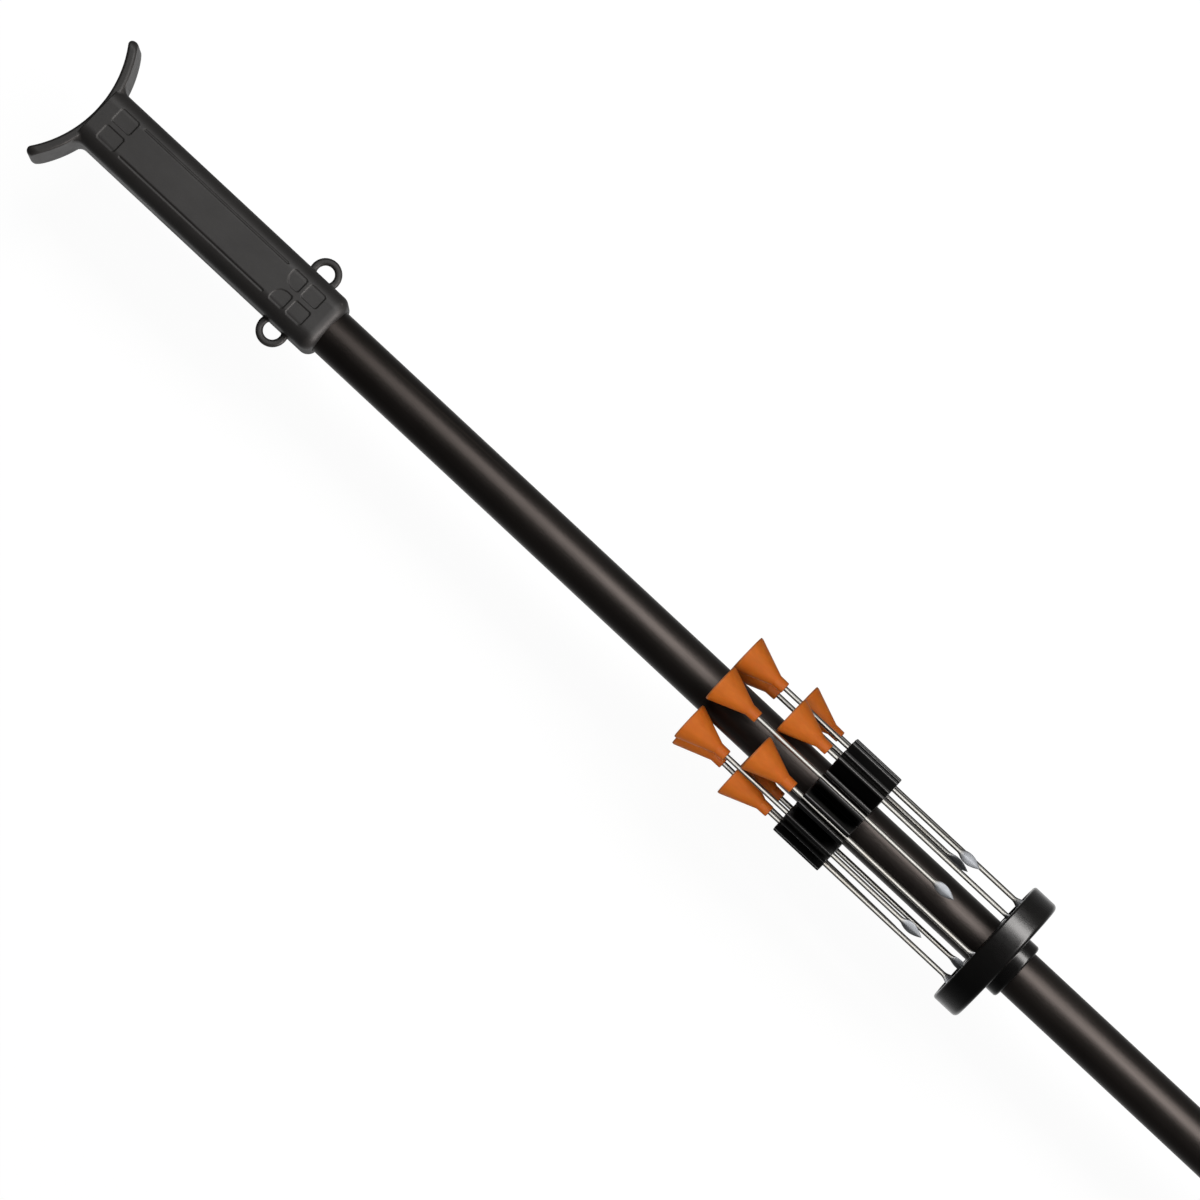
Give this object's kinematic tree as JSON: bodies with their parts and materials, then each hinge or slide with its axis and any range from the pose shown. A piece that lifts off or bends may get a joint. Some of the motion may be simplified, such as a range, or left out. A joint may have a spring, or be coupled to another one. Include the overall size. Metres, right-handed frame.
{
  "type": "blowpipe with dart holder",
  "caption": "Large-bore blowpipe: tube with a one-piece handle and crescent mouth shield, a sliding clip ring of cone-tailed darts and a sliding tip guard.",
  "frame": {"origin": "centre of the barrel's breech end, on the bore axis, 4.3 mm in front of the mouth shield's face", "axes": "+X along the bore towards the muzzle, +Z out of the handle's upper flat, +Y to the shooter's left"},
  "size_m": [0.9296, 0.0588, 0.0555],
  "materials": {
    "anodised_tube": "black anodised, satin",
    "handle_plastic": "fine moulded texture, black",
    "holder_plastic": "moulded, black, slightly glossy",
    "guard_plastic": "moulded, black, satin gloss",
    "ring_rubber": "matte black",
    "cone_plastic": "moulded, orange, satin",
    "dart_steel": "bright drawn wire"
  },
  "bodies": {
    "barrel": {"barrel_tube": "anodised_tube", "handle": "handle_plastic", "muzzle_ring": "ring_rubber"},
    "holder": {"dart_holder": "holder_plastic"},
    "guard": {"dart_guard": "guard_plastic"},
    "dart_01": {"dart_01_cone": "cone_plastic", "dart_01_shaft": "dart_steel"},
    "dart_02": {"dart_02_cone": "cone_plastic", "dart_02_shaft": "dart_steel"},
    "dart_03": {"dart_03_cone": "cone_plastic", "dart_03_shaft": "dart_steel"},
    "dart_04": {"dart_04_cone": "cone_plastic", "dart_04_shaft": "dart_steel"},
    "dart_05": {"dart_05_cone": "cone_plastic", "dart_05_shaft": "dart_steel"},
    "dart_06": {"dart_06_cone": "cone_plastic", "dart_06_shaft": "dart_steel"},
    "dart_07": {"dart_07_cone": "cone_plastic", "dart_07_shaft": "dart_steel"},
    "dart_08": {"dart_08_cone": "cone_plastic", "dart_08_shaft": "dart_steel"},
    "dart_09": {"dart_09_cone": "cone_plastic", "dart_09_shaft": "dart_steel"},
    "dart_10": {"dart_10_cone": "cone_plastic", "dart_10_shaft": "dart_steel"},
    "dart_11": {"dart_11_cone": "cone_plastic", "dart_11_shaft": "dart_steel"},
    "dart_12": {"dart_12_cone": "cone_plastic", "dart_12_shaft": "dart_steel"}
  },
  "joints": [
    {"name": "guard_slide", "type": "slide", "parent": "barrel", "child": "guard", "axis": [1, 0, 0], "range_m": [0, 0.435]},
    {"name": "holder_slide", "type": "slide", "parent": "barrel", "child": "holder", "axis": [1, 0, 0], "range_m": [-0.19, 0]},
    {"name": "dart_01_pull", "type": "slide", "parent": "holder", "child": "dart_01", "axis": [0, 0.0958, 0.9954], "range_m": [0, 0.006], "stiffness_N_per_m": 400},
    {"name": "dart_02_slide", "type": "slide", "parent": "holder", "child": "dart_02", "axis": [1, 0, 0], "range_m": [-0.0045, 0]},
    {"name": "dart_03_pull", "type": "slide", "parent": "holder", "child": "dart_03", "axis": [0, -0.8141, 0.5807], "range_m": [0, 0.006], "stiffness_N_per_m": 400},
    {"name": "dart_04_slide", "type": "slide", "parent": "holder", "child": "dart_04", "axis": [1, 0, 0], "range_m": [-0.0045, 0]},
    {"name": "dart_05_pull", "type": "slide", "parent": "holder", "child": "dart_05", "axis": [0, -0.91, -0.4147], "range_m": [0, 0.006], "stiffness_N_per_m": 400},
    {"name": "dart_06_slide", "type": "slide", "parent": "holder", "child": "dart_06", "axis": [1, 0, 0], "range_m": [-0.003, 0]},
    {"name": "dart_07_pull", "type": "slide", "parent": "holder", "child": "dart_07", "axis": [0, -0.0958, -0.9954], "range_m": [0, 0.006], "stiffness_N_per_m": 400},
    {"name": "dart_08_slide", "type": "slide", "parent": "holder", "child": "dart_08", "axis": [1, 0, 0], "range_m": [-0.0045, 0]},
    {"name": "dart_09_pull", "type": "slide", "parent": "holder", "child": "dart_09", "axis": [0, 0.8141, -0.5807], "range_m": [0, 0.006], "stiffness_N_per_m": 400},
    {"name": "dart_10_slide", "type": "slide", "parent": "holder", "child": "dart_10", "axis": [1, 0, 0], "range_m": [-0.0045, 0]},
    {"name": "dart_11_pull", "type": "slide", "parent": "holder", "child": "dart_11", "axis": [0, 0.91, 0.4147], "range_m": [0, 0.006], "stiffness_N_per_m": 400},
    {"name": "dart_12_slide", "type": "slide", "parent": "holder", "child": "dart_12", "axis": [1, 0, 0], "range_m": [-0.0045, 0]}
  ]
}
